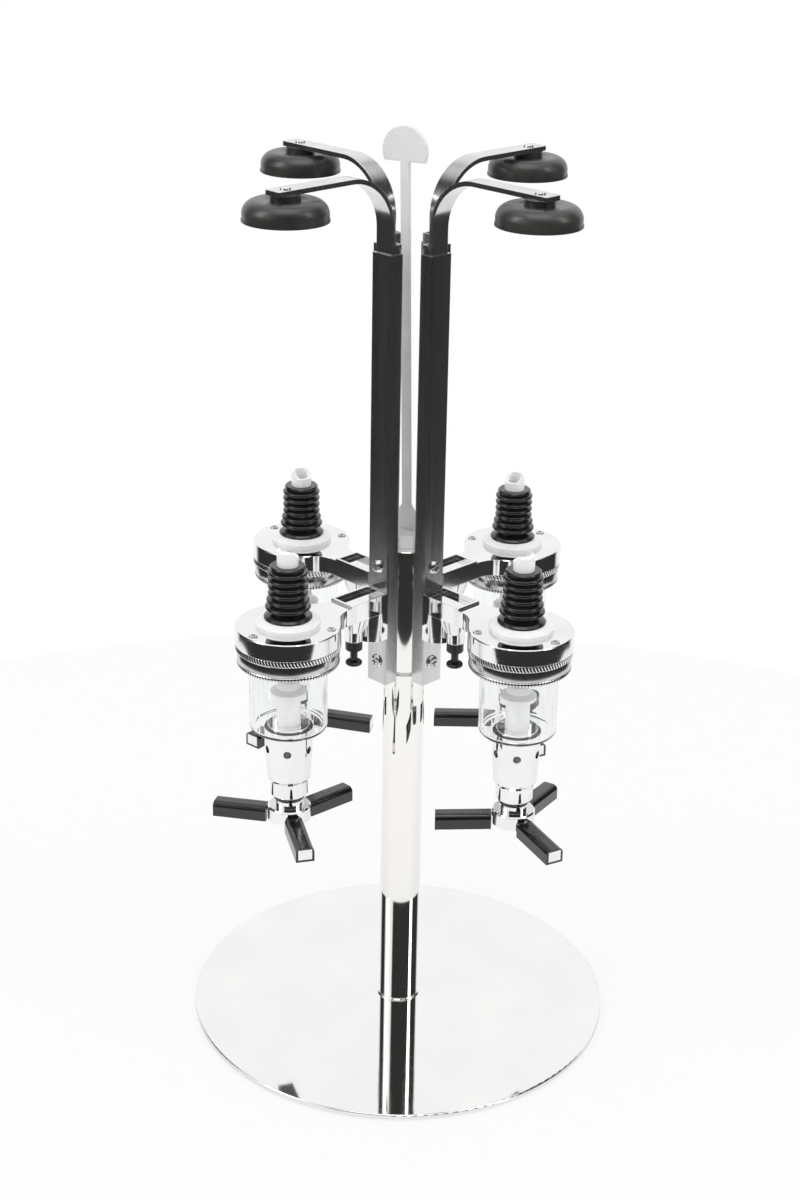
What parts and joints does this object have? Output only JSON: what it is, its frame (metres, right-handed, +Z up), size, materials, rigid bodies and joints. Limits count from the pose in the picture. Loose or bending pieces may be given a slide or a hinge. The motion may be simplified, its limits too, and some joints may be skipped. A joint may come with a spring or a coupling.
{
  "type": "cocktail dispenser",
  "caption": "Revolving column stand that holds upturned bottles under sprung rubber cups, each over a clear measure worked by a lever that a glass pushes up.",
  "frame": {"origin": "centre of the underside of the rubber feet, on the column's axis", "axes": "+Z up along the column; +X to the right and +Y away from the viewer of the picture"},
  "size_m": [0.3, 0.3, 0.6399],
  "materials": {
    "mirror_chrome": "mirror plating",
    "cast_chrome": "plated casting",
    "arm_chrome": "plated flat bar",
    "channel_metal": "satin along the extrusion",
    "bright_liner": "bright strip",
    "plain_steel": "plain",
    "spring_steel": "drawn wire",
    "black_rubber": "semi-gloss",
    "seal_rubber": "matt",
    "black_plastic": "glossy",
    "white_plastic": "moulded",
    "pale_plastic": "moulded",
    "clear_plastic": "clear"
  },
  "bodies": {
    "stand": {"base_plate": "mirror_chrome", "rubber_feet": "black_rubber", "column": "mirror_chrome", "spindle": "plain_steel", "axle_fasteners": "plain_steel"},
    "rotor": {"bearing_rings": "white_plastic", "rotor_hub": "cast_chrome", "hub_cap": "pale_plastic", "lift_handle": "pale_plastic", "channel_liners": "bright_liner", "rotor_fasteners": "plain_steel", "pour_spouts": "white_plastic", "stoppers": "black_rubber", "retaining_rings": "cast_chrome", "chambers": "clear_plastic", "chamber_gaskets": "seal_rubber", "back_right_channel": "channel_metal", "back_right_bracket": "cast_chrome", "back_right_outlet": "cast_chrome", "back_right_lever_spring": "spring_steel", "back_right_arm_spring": "spring_steel", "back_left_channel": "channel_metal", "back_left_bracket": "cast_chrome", "back_left_outlet": "cast_chrome", "back_left_lever_spring": "spring_steel", "back_left_arm_spring": "spring_steel", "front_left_channel": "channel_metal", "front_left_bracket": "cast_chrome", "front_left_outlet": "cast_chrome", "front_left_lever_spring": "spring_steel", "front_left_arm_spring": "spring_steel", "front_right_channel": "channel_metal", "front_right_bracket": "cast_chrome", "front_right_outlet": "cast_chrome", "front_right_lever_spring": "spring_steel", "front_right_arm_spring": "spring_steel"},
    "back_right_bottle_holder": {"back_right_bottle_arm": "arm_chrome", "back_right_bottle_cup": "black_rubber"},
    "back_right_push_lever": {"back_right_lever": "cast_chrome", "back_right_lever_rubbers": "black_rubber", "back_right_plunger": "white_plastic"},
    "back_right_knob": {"back_right_release_knob": "black_plastic"},
    "back_left_bottle_holder": {"back_left_bottle_arm": "arm_chrome", "back_left_bottle_cup": "black_rubber"},
    "back_left_push_lever": {"back_left_lever": "cast_chrome", "back_left_lever_rubbers": "black_rubber", "back_left_plunger": "white_plastic"},
    "back_left_knob": {"back_left_release_knob": "black_plastic"},
    "front_left_bottle_holder": {"front_left_bottle_arm": "arm_chrome", "front_left_bottle_cup": "black_rubber"},
    "front_left_push_lever": {"front_left_lever": "cast_chrome", "front_left_lever_rubbers": "black_rubber", "front_left_plunger": "white_plastic"},
    "front_left_knob": {"front_left_release_knob": "black_plastic"},
    "front_right_bottle_holder": {"front_right_bottle_arm": "arm_chrome", "front_right_bottle_cup": "black_rubber"},
    "front_right_push_lever": {"front_right_lever": "cast_chrome", "front_right_lever_rubbers": "black_rubber", "front_right_plunger": "white_plastic"},
    "front_right_knob": {"front_right_release_knob": "black_plastic"}
  },
  "joints": [
    {"name": "rotor_spin", "type": "hinge", "parent": "stand", "child": "rotor", "pos_m": [0, 0, 0.3167], "axis": [0, 0, 1], "continuous": true},
    {"name": "back_right_arm_slide", "type": "slide", "parent": "rotor", "child": "back_right_bottle_holder", "axis": [0, 0, 1], "range_m": [0, 0.1], "stiffness_N_per_m": 60, "springref_m": -0.03, "deforming": ["back_right_arm_spring"]},
    {"name": "back_right_lever_push", "type": "slide", "parent": "rotor", "child": "back_right_push_lever", "axis": [0, 0, 1], "range_m": [0, 0.007], "stiffness_N_per_m": 400, "springref_m": -0.01, "deforming": ["back_right_lever_spring"]},
    {"name": "back_right_knob_pull", "type": "slide", "parent": "rotor", "child": "back_right_knob", "axis": [0, 0, -1], "range_m": [0, 0.005], "stiffness_N_per_m": 800, "springref_m": -0.005},
    {"name": "back_left_arm_slide", "type": "slide", "parent": "rotor", "child": "back_left_bottle_holder", "axis": [0, 0, 1], "range_m": [0, 0.1], "stiffness_N_per_m": 60, "springref_m": -0.03, "deforming": ["back_left_arm_spring"]},
    {"name": "back_left_lever_push", "type": "slide", "parent": "rotor", "child": "back_left_push_lever", "axis": [0, 0, 1], "range_m": [0, 0.007], "stiffness_N_per_m": 400, "springref_m": -0.01, "deforming": ["back_left_lever_spring"]},
    {"name": "back_left_knob_pull", "type": "slide", "parent": "rotor", "child": "back_left_knob", "axis": [0, 0, -1], "range_m": [0, 0.005], "stiffness_N_per_m": 800, "springref_m": -0.005},
    {"name": "front_left_arm_slide", "type": "slide", "parent": "rotor", "child": "front_left_bottle_holder", "axis": [0, 0, 1], "range_m": [0, 0.1], "stiffness_N_per_m": 60, "springref_m": -0.03, "deforming": ["front_left_arm_spring"]},
    {"name": "front_left_lever_push", "type": "slide", "parent": "rotor", "child": "front_left_push_lever", "axis": [0, 0, 1], "range_m": [0, 0.007], "stiffness_N_per_m": 400, "springref_m": -0.01, "deforming": ["front_left_lever_spring"]},
    {"name": "front_left_knob_pull", "type": "slide", "parent": "rotor", "child": "front_left_knob", "axis": [0, 0, -1], "range_m": [0, 0.005], "stiffness_N_per_m": 800, "springref_m": -0.005},
    {"name": "front_right_arm_slide", "type": "slide", "parent": "rotor", "child": "front_right_bottle_holder", "axis": [0, 0, 1], "range_m": [0, 0.1], "stiffness_N_per_m": 60, "springref_m": -0.03, "deforming": ["front_right_arm_spring"]},
    {"name": "front_right_lever_push", "type": "slide", "parent": "rotor", "child": "front_right_push_lever", "axis": [0, 0, 1], "range_m": [0, 0.007], "stiffness_N_per_m": 400, "springref_m": -0.01, "deforming": ["front_right_lever_spring"]},
    {"name": "front_right_knob_pull", "type": "slide", "parent": "rotor", "child": "front_right_knob", "axis": [0, 0, -1], "range_m": [0, 0.005], "stiffness_N_per_m": 800, "springref_m": -0.005}
  ]
}
